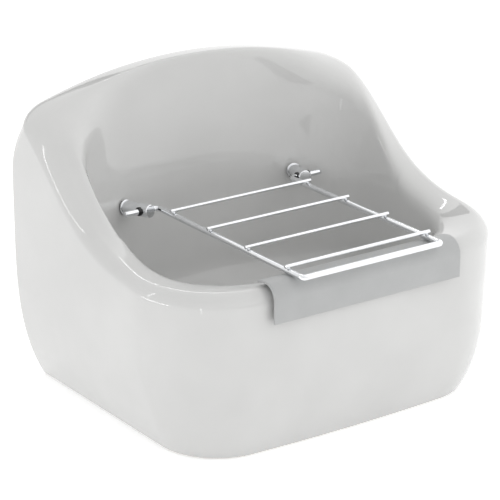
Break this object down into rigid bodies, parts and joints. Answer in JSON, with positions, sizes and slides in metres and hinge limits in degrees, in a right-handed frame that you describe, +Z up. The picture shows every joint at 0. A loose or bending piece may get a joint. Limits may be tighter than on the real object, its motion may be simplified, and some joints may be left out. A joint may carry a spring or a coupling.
{
  "type": "slop sink",
  "caption": "Wall-hung ceramic slop sink with a swept splashback, hinged wire bucket grid, grey rim guard and strainer waste.",
  "frame": {"origin": "midway between the two wall fixing holes, on the wall plane", "axes": "+X to the user's right across the sink, +Y into the wall, +Z up; the front faces -Y"},
  "size_m": [0.48, 0.382, 0.3724],
  "materials": {
    "glazed_ceramic": "gloss white glaze",
    "chrome": "bright chrome plate",
    "guard_plastic": "satin grey moulded",
    "foam_rubber": "matt",
    "black_plastic": "moulded",
    "seal_rubber": "matt",
    "zinc_steel": "zinc plated",
    "stainless_steel": "satin",
    "brass": "cast and turned"
  },
  "bodies": {
    "sink": {"bowl": "glazed_ceramic", "rim_guard": "guard_plastic", "rim_cushion": "foam_rubber", "guard_pad_left": "foam_rubber", "guard_pad_right": "foam_rubber", "hinge_post_left": "chrome", "hinge_post_right": "chrome", "hinge_bush_left": "black_plastic", "hinge_bush_right": "black_plastic", "post_ring_left": "chrome", "post_ring_right": "chrome", "post_gasket_left": "seal_rubber", "post_gasket_right": "seal_rubber", "post_stud_left": "zinc_steel", "post_stud_right": "zinc_steel", "rear_gasket_left": "seal_rubber", "rear_gasket_right": "seal_rubber", "rear_washer_left": "zinc_steel", "rear_washer_right": "zinc_steel", "rear_nut_left": "zinc_steel", "rear_nut_right": "zinc_steel", "waste_body": "stainless_steel", "waste_strainer": "stainless_steel", "strainer_screw": "stainless_steel", "top_seal": "seal_rubber", "under_seal": "seal_rubber", "waste_backnut": "brass"},
    "grid": {"grid_frame": "chrome", "grid_rod_1": "chrome", "grid_rod_2": "chrome", "grid_rod_3": "chrome", "grid_rod_4": "chrome"}
  },
  "joints": [
    {"name": "grid_hinge", "type": "hinge", "parent": "sink", "child": "grid", "pos_m": [0, -0.0903, 0.07483], "axis": [-1, 0, 0], "range_deg": [0, 110]}
  ]
}
